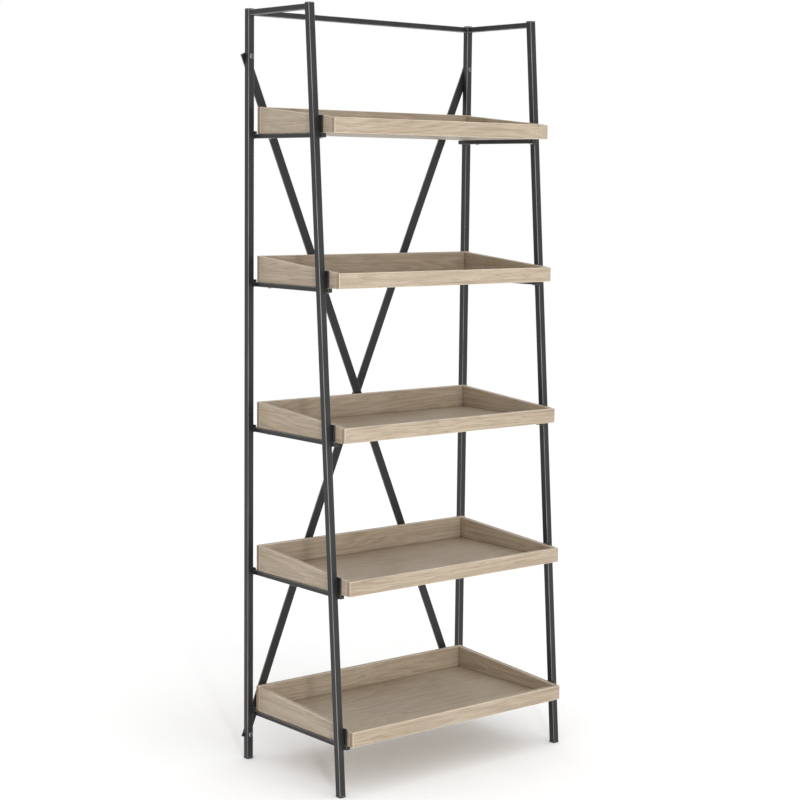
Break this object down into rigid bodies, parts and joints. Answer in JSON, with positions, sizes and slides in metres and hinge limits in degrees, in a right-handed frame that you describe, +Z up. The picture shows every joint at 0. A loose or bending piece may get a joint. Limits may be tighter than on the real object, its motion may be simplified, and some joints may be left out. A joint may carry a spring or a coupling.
{
  "type": "ladder shelf",
  "caption": "Free-standing ladder shelf with a leaning black tube frame, a crossed rear brace and lipped wooden trays that get deeper towards the floor.",
  "frame": {"origin": "on the floor below the middle of the whole shelf", "axes": "+X to the right as seen from the front, -Y towards the front, +Z up"},
  "size_m": [0.7198, 0.4179, 1.8],
  "materials": {
    "frame_black": "satin charcoal-black powder coat",
    "fastener_black": "black zinc",
    "foot_plastic": "matte black moulded plastic",
    "washed_oak": "matt pale washed oak"
  },
  "bodies": {
    "root": {"back_top_rail": "frame_black", "brace_bolts": "fastener_black", "brace_nuts": "fastener_black", "foot_glides": "foot_plastic", "front_brace": "frame_black", "left_back_post": "frame_black", "left_front_post": "frame_black", "left_top_rail": "frame_black", "left_tray_rail_1": "frame_black", "left_tray_rail_2": "frame_black", "left_tray_rail_3": "frame_black", "left_tray_rail_4": "frame_black", "left_tray_rail_5": "frame_black", "left_tray_stops": "frame_black", "post_top_caps": "frame_black", "rear_brace": "frame_black", "right_back_post": "frame_black", "right_front_post": "frame_black", "right_top_rail": "frame_black", "right_tray_rail_1": "frame_black", "right_tray_rail_2": "frame_black", "right_tray_rail_3": "frame_black", "right_tray_rail_4": "frame_black", "right_tray_rail_5": "frame_black", "right_tray_stops": "frame_black", "tray_1_back": "washed_oak", "tray_1_bottom": "washed_oak", "tray_1_front": "washed_oak", "tray_1_left": "washed_oak", "tray_1_right": "washed_oak", "tray_2_back": "washed_oak", "tray_2_bottom": "washed_oak", "tray_2_front": "washed_oak", "tray_2_left": "washed_oak", "tray_2_right": "washed_oak", "tray_3_back": "washed_oak", "tray_3_bottom": "washed_oak", "tray_3_front": "washed_oak", "tray_3_left": "washed_oak", "tray_3_right": "washed_oak", "tray_4_back": "washed_oak", "tray_4_bottom": "washed_oak", "tray_4_front": "washed_oak", "tray_4_left": "washed_oak", "tray_4_right": "washed_oak", "tray_5_back": "washed_oak", "tray_5_bottom": "washed_oak", "tray_5_front": "washed_oak", "tray_5_left": "washed_oak", "tray_5_right": "washed_oak", "tray_screws": "fastener_black"}
  },
  "joints": []
}
